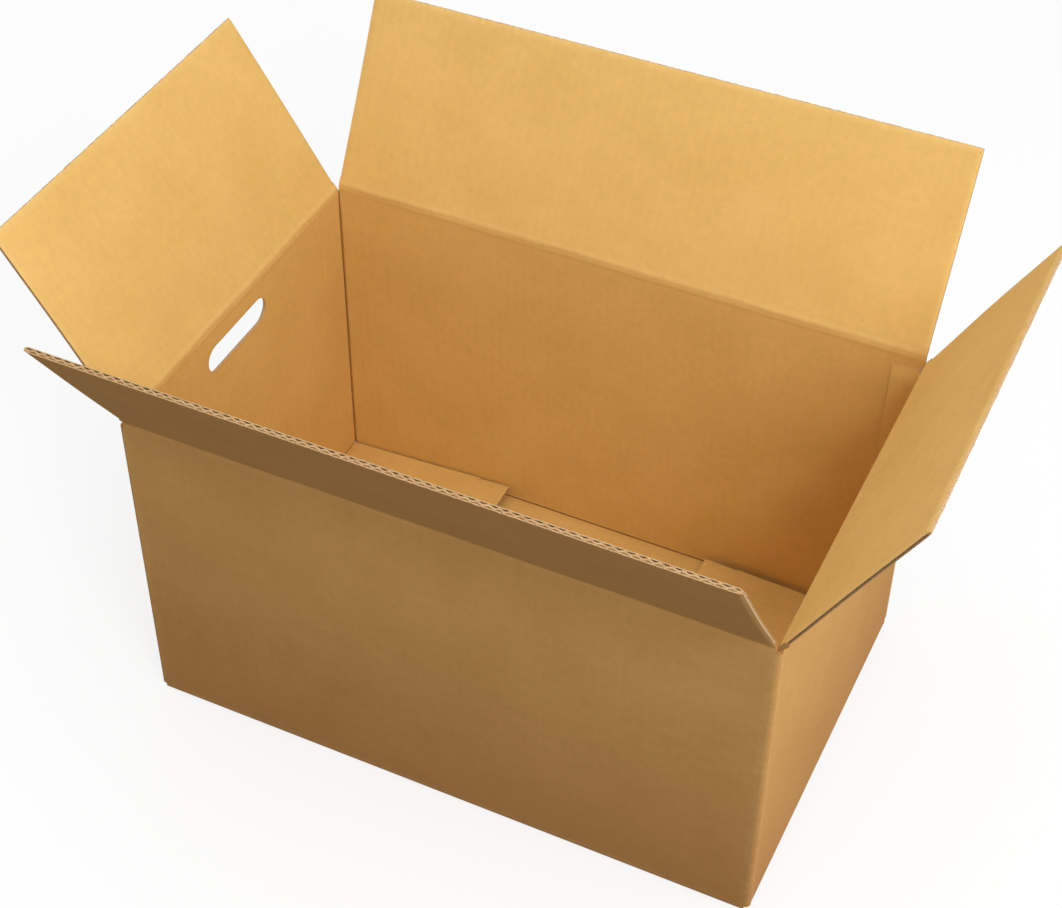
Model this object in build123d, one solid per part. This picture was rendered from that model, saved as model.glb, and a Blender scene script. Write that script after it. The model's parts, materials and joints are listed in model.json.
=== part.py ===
"""Corrugated moving box that stands open: a slotted carton folded from one creased sheet.

The walls, the glue tab and the shut bottom flaps are one folded piece. The four top flaps
turn on their crushed score lines. Millimetres, +Z up, origin on the floor at the centre of
the base, +X along the long side and +Y towards the back.
"""
import math
import os

from build123d import *

# Outside of the box, with the height taken to the score lines of the long flaps
BOX_LENGTH = 600.0
BOX_WIDTH = 380.0
BOX_HEIGHT = 344.0

# Corrugated board: two flat liners glued to a fluted medium
BOARD_THICKNESS = 5.0
LINER_THICKNESS = 0.5
MEDIUM_THICKNESS = 0.5
FLUTE_PITCH = 8.8
FLUTE_WIDE_SHARE = 0.80
FLUTE_NARROW_SHARE = 0.08

# Folded edges and the slots cut between neighbouring flaps
FOLD_RADIUS = 5.0
SLOT_WIDTH = 6.0
SLOT_OVERCUT = 2.0

# Score lines: the board is crushed to a web, and its faces fall away to it on both sides
SCORE_WEB = 1.0
SCORE_DENT = 0.8
SCORE_OUTER_RUN = 6.5
SCORE_INNER_RUN = 6.0
SCORE_GAP = 0.4
SCORE_LEAN_ANGLE = 23.0
SCORE_CRUSHED_BAND = 12.0

# Top flaps: how far each leans out from upright in degrees, and the gaps left when they are shut
FRONT_FLAP_ANGLE = 33.0
BACK_FLAP_ANGLE = 28.5
LEFT_FLAP_ANGLE = 32.4
RIGHT_FLAP_ANGLE = 29.5
FLAP_MEETING_GAP = 1.5
FLAP_STACK_GAP = 0.3

# Hand hole in each end wall, with its rim crushed thin by the die
HAND_HOLE_LENGTH = 100.0
HAND_HOLE_HEIGHT = 27.0
HAND_HOLE_DROP = 35.5
HAND_HOLE_OFFSET = 8.0
HAND_HOLE_RIM_WIDTH = 4.0
HAND_HOLE_RIM_DEPTH = 3.0

# Glue tab: folded from the right wall and glued inside the back wall
GLUE_TAB_WIDTH = 29.0
GLUE_TAB_THICKNESS = 3.0
GLUE_TAB_END_GAP = 5.0
GLUE_TAB_TAPER = 5.0
GLUE_JOINT_BITE = 0.6
GLUE_JOINT_SETBACK = 1.0

# Packing tape under the bottom seam
TAPE_WIDTH = 50.0
TAPE_THICKNESS = 0.15
TAPE_END_INSET = 12.0

# Cuts that pass right through run on by this much
OVERRUN = 10.0

# Sizes that follow from the ones above
WEB_RADIUS = SCORE_WEB / 2
AXIS_DEPTH = SCORE_DENT + WEB_RADIUS
AXIS_TO_INSIDE = BOARD_THICKNESS - AXIS_DEPTH
FLAP_INSET = (BOARD_THICKNESS + SLOT_WIDTH) / 2
LONG_FLAP_WIDTH = BOX_LENGTH - 2 * FLAP_INSET
END_FLAP_WIDTH = BOX_WIDTH - 2 * FLAP_INSET
LONG_SCORE_Z = BOX_HEIGHT
END_SCORE_Z = BOX_HEIGHT - BOARD_THICKNESS - FLAP_STACK_GAP
LONG_FLAP_REACH = (BOX_WIDTH - FLAP_MEETING_GAP) / 2 - AXIS_DEPTH
END_FLAP_REACH = LONG_FLAP_REACH + LONG_SCORE_Z - END_SCORE_Z
LONG_FOLD_Z = TAPE_THICKNESS
END_FOLD_Z = LONG_FOLD_Z + BOARD_THICKNESS
BOTTOM_FLAP_REACH = (BOX_WIDTH - FLAP_MEETING_GAP) / 2
FLOOR_TOP_Z = END_FOLD_Z + BOARD_THICKNESS

# Turn of each side about Z, in degrees
FRONT_TURN = 0.0
BACK_TURN = 180.0
LEFT_TURN = -90.0
RIGHT_TURN = 90.0


def side_place(turn, distance, height=0.0):
    """Place of a side's own frame: X along the side, Y inwards from its outer face, Z up."""
    return Rot(0, 0, turn) * Pos(0, -distance, height)


def web_tangent(across, along):
    """Point where a line from (across, along) touches the web's round edge at the score."""
    away = math.hypot(across, along)
    slope = math.atan2(across, along) - math.asin(WEB_RADIUS / away)
    return WEB_RADIUS * math.cos(slope), -WEB_RADIUS * math.sin(slope)


def prism(edges, width):
    """Solid of a closed section in the YZ plane, as wide as given and centred on it."""
    return extrude(make_face(edges), amount=width / 2, dir=(1, 0, 0), both=True)


def flute_channels(width, reach):
    """Open channels between the liners and the fluted medium, from the score to the cut edge."""
    inside = AXIS_TO_INSIDE - LINER_THICKNESS
    outside = LINER_THICKNESS - AXIS_DEPTH
    wide = FLUTE_PITCH * FLUTE_WIDE_SHARE / 2
    narrow = FLUTE_PITCH * FLUTE_NARROW_SHARE / 2
    count = int(width // FLUTE_PITCH)
    rows = (
        (count, inside, outside + MEDIUM_THICKNESS),
        (count - 1, outside, inside - MEDIUM_THICKNESS),
    )
    start = Plane.XY.offset(SCORE_CRUSHED_BAND)
    channels = Sketch()
    for copies, liner_side, crest_side in rows:
        outline = Polygon(
            (-wide, liner_side),
            (wide, liner_side),
            (narrow, crest_side),
            (-narrow, crest_side),
            align=None,
        )
        channels += [place * outline for place in GridLocations(FLUTE_PITCH, 0, copies, 1)]
    length = reach - SCORE_CRUSHED_BAND + OVERRUN
    return extrude(start * channels, amount=length, dir=(0, 0, 1))


def top_flap(width, reach):
    """Upright flap about its score line, which is the X axis; +Y faces into the box."""
    outer_y, outer_z = web_tangent(AXIS_DEPTH, SCORE_OUTER_RUN)
    inner_y, inner_z = web_tangent(AXIS_TO_INSIDE, SCORE_INNER_RUN)
    board = Polyline(
        (0, inner_y, inner_z),
        (0, AXIS_TO_INSIDE, SCORE_INNER_RUN),
        (0, AXIS_TO_INSIDE, reach),
        (0, -AXIS_DEPTH, reach),
        (0, -AXIS_DEPTH, SCORE_OUTER_RUN),
        (0, -outer_y, outer_z),
    )
    web = ThreePointArc((0, -outer_y, outer_z), (0, 0, -WEB_RADIUS), (0, inner_y, inner_z))
    return prism(board + web, width) - flute_channels(width, reach)


def wall_with_bottom_flap(width, score_z, fold_z):
    """Wall under a score line and the bottom flap folded in from its foot, as one bent sheet."""
    ridge = WEB_RADIUS + SCORE_GAP
    lean = math.radians(SCORE_LEAN_ANGLE)
    bend = FOLD_RADIUS * (1 - math.sqrt(2) / 2)
    sheet = Polyline(
        (0, FOLD_RADIUS, fold_z),
        (0, BOTTOM_FLAP_REACH, fold_z),
        (0, BOTTOM_FLAP_REACH, fold_z + BOARD_THICKNESS),
        (0, BOARD_THICKNESS, fold_z + BOARD_THICKNESS),
        (0, BOARD_THICKNESS, score_z - SCORE_INNER_RUN),
        (0, AXIS_DEPTH + ridge * math.sin(lean), score_z - ridge * math.cos(lean)),
        (0, 0, score_z - SCORE_OUTER_RUN),
        (0, 0, fold_z + FOLD_RADIUS),
    )
    fold = ThreePointArc(
        (0, 0, fold_z + FOLD_RADIUS), (0, bend, fold_z + bend), (0, FOLD_RADIUS, fold_z)
    )
    return prism(sheet + fold, width)


def corner_folds():
    """Upright folds between the walls, from the bottom slots to the top slots."""
    foot = END_FOLD_Z + SLOT_OVERCUT
    height = END_SCORE_Z - SLOT_OVERCUT - foot
    wall_ring = RectangleRounded(BOX_LENGTH, BOX_WIDTH, FOLD_RADIUS)
    wall_ring -= Rectangle(BOX_LENGTH - 2 * BOARD_THICKNESS, BOX_WIDTH - 2 * BOARD_THICKNESS)
    across = BOX_LENGTH - FLAP_INSET
    deep = BOX_WIDTH - FLAP_INSET
    corners = [Pos(sx * across / 2, sy * deep / 2) for sx, sy in ((-1, -1), (1, -1), (-1, 1))]
    squares = Sketch() + [corner * Rectangle(FLAP_INSET, FLAP_INSET) for corner in corners]
    folded = wall_ring & squares
    overlap = FLAP_INSET - GLUE_JOINT_SETBACK
    lap = Pos(BOX_LENGTH / 2 - FLAP_INSET + overlap / 2, (BOX_WIDTH - BOARD_THICKNESS) / 2)
    lap *= Rectangle(overlap, BOARD_THICKNESS)
    turn = Pos((BOX_LENGTH - BOARD_THICKNESS) / 2, (BOX_WIDTH - BOARD_THICKNESS - FLAP_INSET) / 2)
    turn *= Rectangle(BOARD_THICKNESS, FLAP_INSET - BOARD_THICKNESS)
    return extrude(Plane.XY.offset(foot) * (folded + lap + turn), amount=height)


def glue_fold_round():
    """Waste outside the round fold where the right wall turns in to become the glue tab."""
    side = Pos(
        (BOX_LENGTH - FOLD_RADIUS) / 2,
        (BOX_WIDTH - FOLD_RADIUS) / 2 - BOARD_THICKNESS + GLUE_JOINT_BITE / 2,
    )
    centre = Pos(
        BOX_LENGTH / 2 - FOLD_RADIUS,
        BOX_WIDTH / 2 - BOARD_THICKNESS - FOLD_RADIUS + GLUE_JOINT_BITE,
    )
    waste = side * Rectangle(FOLD_RADIUS, FOLD_RADIUS - GLUE_JOINT_BITE)
    waste -= centre * Circle(FOLD_RADIUS)
    return extrude(waste, amount=BOX_HEIGHT)


def glue_tab():
    """Tab pressed thin against the inside of the back wall, with its two ends cut slanting."""
    root_x = BOX_LENGTH / 2 - BOARD_THICKNESS
    tip_x = root_x - GLUE_TAB_WIDTH
    low = FLOOR_TOP_Z + GLUE_TAB_END_GAP
    high = END_SCORE_Z - GLUE_TAB_END_GAP
    face_y = BOX_WIDTH / 2 - BOARD_THICKNESS
    outline = Polyline(
        (root_x, face_y, low),
        (tip_x, face_y, low + GLUE_TAB_TAPER),
        (tip_x, face_y, high - GLUE_TAB_TAPER),
        (root_x, face_y, high),
        close=True,
    )
    return extrude(make_face(outline), amount=GLUE_TAB_THICKNESS, dir=(0, -1, 0))


def hand_hole():
    """Oblong cut through an end wall, in the side's frame, widening to the outside at its rim."""
    face = Plane((HAND_HOLE_OFFSET, 0, END_SCORE_Z - HAND_HOLE_DROP), x_dir=(1, 0, 0), z_dir=(0, 1, 0))
    opening = SlotOverall(HAND_HOLE_LENGTH, HAND_HOLE_HEIGHT)
    mouth = SlotOverall(
        HAND_HOLE_LENGTH + 2 * HAND_HOLE_RIM_WIDTH, HAND_HOLE_HEIGHT + 2 * HAND_HOLE_RIM_WIDTH
    )
    through = extrude(face * opening, amount=BOARD_THICKNESS + OVERRUN)
    rim = loft([face * mouth, face.offset(HAND_HOLE_RIM_DEPTH) * opening], ruled=True)
    return through + rim


def box_body():
    """Four walls, the glue tab and the shut bottom flaps: one sheet, folded and glued."""
    long_side = wall_with_bottom_flap(LONG_FLAP_WIDTH, LONG_SCORE_Z, LONG_FOLD_Z)
    end_side = wall_with_bottom_flap(END_FLAP_WIDTH, END_SCORE_Z, END_FOLD_Z) - hand_hole()
    front = side_place(FRONT_TURN, BOX_WIDTH / 2) * long_side
    back = side_place(BACK_TURN, BOX_WIDTH / 2) * long_side
    left = side_place(LEFT_TURN, BOX_LENGTH / 2) * end_side
    right = side_place(RIGHT_TURN, BOX_LENGTH / 2) * end_side
    joint_waste = glue_fold_round()
    return front + [back, left, right - joint_waste, corner_folds() - joint_waste, glue_tab()]


def bottom_tape():
    """Strip of tape along the seam where the long bottom flaps meet."""
    strip = Rectangle(LONG_FLAP_WIDTH - 2 * TAPE_END_INSET, TAPE_WIDTH)
    return extrude(strip, amount=TAPE_THICKNESS)


def placed_flap(flap, turn, distance, score_z, angle):
    """Flap set on its score line and leaned out from upright by its angle."""
    return side_place(turn, distance - AXIS_DEPTH, score_z) * Rot(angle, 0, 0) * flap


def main():
    """Build every piece and write one file for each."""
    long_flap = top_flap(LONG_FLAP_WIDTH, LONG_FLAP_REACH)
    end_flap = top_flap(END_FLAP_WIDTH, END_FLAP_REACH)
    half_width = BOX_WIDTH / 2
    half_length = BOX_LENGTH / 2
    pieces = {
        "box_body": box_body(),
        "top_flap_front": placed_flap(long_flap, FRONT_TURN, half_width, LONG_SCORE_Z, FRONT_FLAP_ANGLE),
        "top_flap_back": placed_flap(long_flap, BACK_TURN, half_width, LONG_SCORE_Z, BACK_FLAP_ANGLE),
        "top_flap_left": placed_flap(end_flap, LEFT_TURN, half_length, END_SCORE_Z, LEFT_FLAP_ANGLE),
        "top_flap_right": placed_flap(end_flap, RIGHT_TURN, half_length, END_SCORE_Z, RIGHT_FLAP_ANGLE),
        "bottom_tape": bottom_tape(),
    }
    os.makedirs("parts", exist_ok=True)
    for node, shape in pieces.items():
        export_step(shape, f"parts/{node}.step")


main()
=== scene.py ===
"""Looks of an open corrugated moving box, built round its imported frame.

Lengths in this file are millimetres on the box and are turned to metres only where a mesh,
light or camera is made. A side's own coordinates are x along the wall, n inwards from the
outer face of the board, and z up. A value whose name ends in share or shares has no unit.
"""
import json
import logging
import math
from dataclasses import dataclass, field
from enum import Enum
from functools import partial
from typing import Any, Callable

import bmesh
import bpy
import numpy as np
from mathutils import Matrix, Vector


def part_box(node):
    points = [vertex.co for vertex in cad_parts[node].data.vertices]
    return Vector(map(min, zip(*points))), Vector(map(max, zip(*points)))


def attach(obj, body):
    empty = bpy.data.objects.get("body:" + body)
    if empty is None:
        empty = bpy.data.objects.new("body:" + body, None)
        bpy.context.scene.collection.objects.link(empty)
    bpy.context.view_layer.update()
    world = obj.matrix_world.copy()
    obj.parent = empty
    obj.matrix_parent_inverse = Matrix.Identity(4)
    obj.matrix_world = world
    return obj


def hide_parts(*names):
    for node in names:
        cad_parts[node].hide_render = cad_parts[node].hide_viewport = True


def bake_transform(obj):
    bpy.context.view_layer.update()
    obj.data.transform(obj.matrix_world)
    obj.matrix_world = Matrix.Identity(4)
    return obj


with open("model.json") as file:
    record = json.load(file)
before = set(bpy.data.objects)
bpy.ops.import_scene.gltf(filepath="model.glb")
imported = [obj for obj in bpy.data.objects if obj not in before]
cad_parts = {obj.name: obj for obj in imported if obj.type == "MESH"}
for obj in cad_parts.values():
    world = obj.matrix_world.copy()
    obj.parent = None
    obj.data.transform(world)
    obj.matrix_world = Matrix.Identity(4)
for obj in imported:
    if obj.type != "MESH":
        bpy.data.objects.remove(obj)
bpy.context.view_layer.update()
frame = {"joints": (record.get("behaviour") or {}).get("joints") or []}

LOG = logging.getLogger("moving_box")
MM = 0.001
SHARP_ANGLE = math.radians(32.0)
WELD_DIGITS = 4
# Lines nearer to each other than this are the same line
TOUCH = 0.01
# A flap that is shut has turned this many degrees from its wall
SHUT_TURN = 90.0
# Patterns on the two faces of the board are read this far apart, so that they don't repeat
BLANK_FACES_APART = 900.0
# Blender's wave texture turns by this many radians for each unit of length
WAVE_RATE = 20.0
# Numbers of the sockets on Blender's Mix node that take and give colours
MIX_SHARE, MIX_FIRST, MIX_SECOND, MIX_RESULT = 0, 6, 7, 2
Array = np.ndarray
Placing = Callable[[Array, Array, Array], Array]


def smooth(value: Array | float) -> Array:
    """Ease from 0 to 1 as value goes from 0 to 1, and stay flat outside."""
    t = np.clip(value, 0.0, 1.0)
    return t * t * (3.0 - 2.0 * t)


def bell(distance: Array | float, width: float) -> Array:
    """Bump of height 1 at distance 0 that fades over about the given width."""
    return np.exp(-np.square(np.asarray(distance) / width))


def grid(rows: Array, columns: Array) -> tuple[Array, Array]:
    """Row and column values spread over a grid, as two arrays of the same shape."""
    return np.meshgrid(rows, columns, indexing="ij")


def stacked(x: Array, y: Array, z: Array) -> Array:
    """Points from three coordinate arrays that broadcast together."""
    return np.stack(np.broadcast_arrays(x, y, z), axis=-1).astype(float)


def packed_box(node: str) -> tuple[Array, Array]:
    """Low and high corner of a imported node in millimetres."""
    low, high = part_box(node)
    return np.array(low) / MM, np.array(high) / MM


def linear_rgba(hex_colour: str) -> tuple[float, float, float, float]:
    """Turn an sRGB hex colour to the linear values that a shader takes.

    Args:
        hex_colour: Colour such as "#C8A060".

    Returns:
        Linear red, green, blue, and an alpha of 1.
    """
    digits = hex_colour.lstrip("#")
    channels = [int(digits[i:i + 2], 16) / 255.0 for i in (0, 2, 4)]
    red, green, blue = (
        c / 12.92 if c <= 0.04045 else ((c + 0.055) / 1.055) ** 2.4 for c in channels
    )
    return red, green, blue, 1.0


def add_node(
    tree: bpy.types.NodeTree, kind: str, inputs: dict | None = None, **settings: Any,
) -> bpy.types.Node:
    """Add one node with its settings, and set or link its inputs.

    Args:
        tree: Node tree that takes the node.
        kind: Blender's type name of the node.
        inputs: Value or linked output socket for each input, by the input's name or number.
        settings: Properties of the node itself.

    Returns:
        The new node.
    """
    made = tree.nodes.new(kind)
    for name, value in settings.items():
        setattr(made, name, value)
    for key, value in (inputs or {}).items():
        if isinstance(value, bpy.types.NodeSocket):
            tree.links.new(value, made.inputs[key])
        else:
            made.inputs[key].default_value = value
    return made


class Skin(Enum):
    """Which paper a face of the board shows; the value is its material slot."""

    OUTSIDE = 0
    INSIDE = 1
    CUT = 2
    MEDIUM = 3


class Side(Enum):
    """The four sides along the flat blank, with the turn of each about the upright axis in degrees."""

    BACK = 180.0
    LEFT = -90.0
    FRONT = 0.0
    RIGHT = 90.0

    @property
    def word(self) -> str:
        """Name of the side as the bodies, nodes and joints use it."""
        return self.name.lower()

    @property
    def number(self) -> int:
        """Where the side comes along the flat blank, counted from 0."""
        return list(Side).index(self)

    @property
    def is_end(self) -> bool:
        """Whether the side is one of the two short ends."""
        return self in (Side.LEFT, Side.RIGHT)


@dataclass(frozen=True)
class Board:
    """Single-wall A-flute board and the way it is cut and creased."""

    thickness: float = 5.0
    liner: float = 0.5
    medium: float = 0.5
    flute_pitch: float = 8.8
    fold_radius: float = 5.0
    slot_overcut: float = 2.0
    groove_mouth: float = 1.7
    groove_depth: float = 1.5
    score_wall_run: float = 7.0
    score_flap_run: float = 8.0
    score_turn: float = 6.0


BOARD = Board()


@dataclass(frozen=True)
class Panel:
    """One wall with its top flap, measured from the frame."""

    side: Side
    half: float
    flap_half: float
    distance: float
    score_z: float
    fold_z: float
    axis_depth: float
    lean: float
    reach: float
    blank_u: float

    @classmethod
    def from_frame(cls, side: Side) -> "Panel":
        """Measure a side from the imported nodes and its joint.

        Args:
            side: Which side of the box.

        Returns:
            The side's sizes in millimetres, and its lean in radians.
        """
        low, high = packed_box("box_body")
        flap_high = packed_box(f"top_flap_{side.word}")[1]
        joint = next(j for j in frame["joints"] if j["child"] == f"{side.word}_flap")
        along, across = (1, 0) if side.is_end else (0, 1)
        distance = high[across]
        axis = np.array(joint["pos_m"]) / MM
        axis_depth = distance - abs(axis[across])
        lean = math.radians(joint["range_deg"][1] - SHUT_TURN)
        inside = BOARD.thickness - axis_depth
        quarter = high[0] + high[1]
        return cls(
            side=side,
            half=high[along],
            flap_half=flap_high[along],
            distance=distance,
            score_z=axis[2],
            fold_z=low[2] + (BOARD.thickness if side.is_end else 0.0),
            axis_depth=axis_depth,
            lean=lean,
            reach=(flap_high[2] - axis[2] - inside * math.sin(lean)) / math.cos(lean),
            blank_u=quarter * side.number,
        )

    def place(self, x: Array, n: Array, z: Array) -> Array:
        """Turn points from the side's own coordinates to the box's frame.

        Args:
            x: Places along the wall.
            n: Depths from the outer face.
            z: Heights.

        Returns:
            Points in the box's frame.
        """
        turn = math.radians(self.side.value)
        y = np.asarray(n) - self.distance
        across = x * math.cos(turn) - y * math.sin(turn)
        return stacked(across, x * math.sin(turn) + y * math.cos(turn), z)

    def place_leaned(self, x: Array, n: Array, s: Array, share: Array | float = 1.0) -> Array:
        """Points of the flap, or of its score where only a share of the lean is reached.

        Args:
            x: Places along the score.
            n: Depths in the board from its outer face.
            s: Distances from the score's axis, up the flap.
            share: Share of the flap's lean that each point has taken.

        Returns:
            Points in the box's frame.
        """
        angle = self.lean * share
        depth = np.asarray(n) - self.axis_depth
        across = depth * np.cos(angle) - s * np.sin(angle)
        up = depth * np.sin(angle) + s * np.cos(angle)
        return self.place(x, self.axis_depth + across, self.score_z + up)


@dataclass
class Sheet:
    """Closed thin board gathered from patches of matched outer and inner points."""

    index: dict[tuple, int] = field(default_factory=dict)
    outer: list[Array] = field(default_factory=list)
    inner: list[Array] = field(default_factory=list)
    marks: list[tuple[float, float, float, float]] = field(default_factory=list)
    faces: list[tuple[tuple[int, ...], Skin, Skin, Skin]] = field(default_factory=list)

    def patch(
        self,
        outer: Array,
        inner: Array,
        blank: tuple[Array, Array],
        skins: tuple[Skin, Skin, Skin] = (Skin.OUTSIDE, Skin.INSIDE, Skin.CUT),
        wear: Array | float = 0.0,
        crease: Array | float = 0.0,
        shell: Any = None,
        keep: Array | None = None,
    ) -> None:
        """Add a grid of cells; points that meet an earlier patch of the same shell are welded to it.

        Args:
            outer: Points of the outer face, rows by columns by 3.
            inner: Matching points of the inner face.
            blank: Where each point lies on the flat blank, along and up.
            skins: Papers of the outer face, the inner face and the cut rim.
            wear: How rubbed each point is, 0 to 1.
            crease: How crushed each point is, 0 to 1; the darker tint it gives is partly painted shade in
                creases, folds and hole rims.
            shell: Mark of the shell, so that neighbouring plies stay apart.
            keep: Which cells to make; all of them if not given.
        """
        rows, columns = outer.shape[:2]
        fields = [np.broadcast_to(np.asarray(f, float), (rows, columns)) for f in (*blank, wear, crease)]
        numbers = np.empty((rows, columns), int)
        # Adding zero turns a minus zero to plain zero, so that both give one key
        keys = np.round(outer, WELD_DIGITS) + 0.0
        for r in range(rows):
            for c in range(columns):
                key = (shell, *keys[r, c])
                if key not in self.index:
                    self.index[key] = len(self.outer)
                    self.outer.append(outer[r, c])
                    self.inner.append(inner[r, c])
                    self.marks.append(tuple(f[r, c] for f in fields))
                numbers[r, c] = self.index[key]
        for r in range(rows - 1):
            for c in range(columns - 1):
                if keep is not None and not keep[r, c]:
                    continue
                ring = numbers[r, c], numbers[r, c + 1], numbers[r + 1, c + 1], numbers[r + 1, c]
                self.faces.append((tuple(dict.fromkeys(ring)), *skins))

    def _closed(self) -> tuple[list[list[int]], list[int]]:
        """Gather the faces of both sides, and close every rim between them.

        Returns:
            Point numbers of each face, with outer points even and inner ones odd, and the
            material slot of each face.
        """
        edges: dict[frozenset, list[tuple[int, int, Skin]]] = {}
        faces, slots = [], []
        for ring, outside, inside, rim in self.faces:
            faces.append([2 * p for p in ring])
            slots.append(outside.value)
            faces.append([2 * p + 1 for p in reversed(ring)])
            slots.append(inside.value)
            for a, b in zip(ring, ring[1:] + ring[:1]):
                edges.setdefault(frozenset((a, b)), []).append((a, b, rim))
        for found in edges.values():
            if len(found) == 1:
                a, b, rim = found[0]
                faces.append([2 * b, 2 * a, 2 * a + 1, 2 * b + 1])
                slots.append(rim.value)
        return faces, slots

    def build(self, name: str, papers: list[bpy.types.Material]) -> bpy.types.Object:
        """Make the mesh object.

        Args:
            name: Name of the piece.
            papers: Materials in the order of the Skin values.

        Returns:
            The new object, with its flat-blank coordinates, wear and crease kept on its points.
        """
        faces, slots = self._closed()
        points = np.empty((2 * len(self.outer), 3))
        points[0::2] = self.outer
        points[1::2] = self.inner
        mesh = bpy.data.meshes.new(name)
        mesh.from_pydata((points * MM).tolist(), [], faces)
        mesh.polygons.foreach_set("material_index", slots)
        for paper in papers:
            mesh.materials.append(paper)
        self._keep_marks(mesh)
        turned = bmesh.new()
        turned.from_mesh(mesh)
        bmesh.ops.recalc_face_normals(turned, faces=turned.faces)
        turned.to_mesh(mesh)
        turned.free()
        mesh.shade_smooth()
        mesh.set_sharp_from_angle(angle=SHARP_ANGLE)
        made = bpy.data.objects.new(name, mesh)
        bpy.context.scene.collection.objects.link(made)
        return made

    def _keep_marks(self, mesh: bpy.types.Mesh) -> None:
        """Store the flat-blank coordinates, wear and crease of every point on the mesh.

        Args:
            mesh: Mesh that takes the marks.
        """
        marks = np.repeat(np.array(self.marks), 2, axis=0)
        apart = np.tile((0.0, BLANK_FACES_APART), len(self.outer))
        blank = mesh.attributes.new("blank", "FLOAT_VECTOR", "POINT")
        blank.data.foreach_set("vector", np.column_stack((marks[:, :2], apart)).ravel())
        for name, column in (("wear", 2), ("crease", 3)):
            mark = mesh.attributes.new(name, "FLOAT", "POINT")
            mark.data.foreach_set("value", np.ascontiguousarray(marks[:, column]))


@dataclass(frozen=True, kw_only=True)
class Finish:
    """What all surfaces here have: a colour, a fine relief and the way they take the light."""

    name: str
    colour: str
    roughness: float
    ior: float = 1.5
    specular: float = 0.5
    bump_strength: float = 1.0
    bump_depth: float = 1.0

    def material(self) -> bpy.types.Material:
        """Make the material.

        Returns:
            A node material with the finish's own colour and relief on one shader.
        """
        made = bpy.data.materials.new(self.name)
        made.use_nodes = True
        tree = made.node_tree
        shader = tree.nodes["Principled BSDF"]
        colour, height = self._paint(tree)
        bump = add_node(
            tree, "ShaderNodeBump",
            {"Height": height, "Strength": self.bump_strength, "Distance": self.bump_depth * MM},
        )
        tree.links.new(colour, shader.inputs["Base Color"])
        tree.links.new(bump.outputs["Normal"], shader.inputs["Normal"])
        shader.inputs["Roughness"].default_value = self.roughness
        shader.inputs["IOR"].default_value = self.ior
        shader.inputs["Specular IOR Level"].default_value = self.specular
        return made

    def _paint(self, tree: bpy.types.NodeTree) -> tuple[bpy.types.NodeSocket, bpy.types.NodeSocket]:
        """Colour and height of the surface, which each finish works out for itself."""
        raise NotImplementedError


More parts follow.
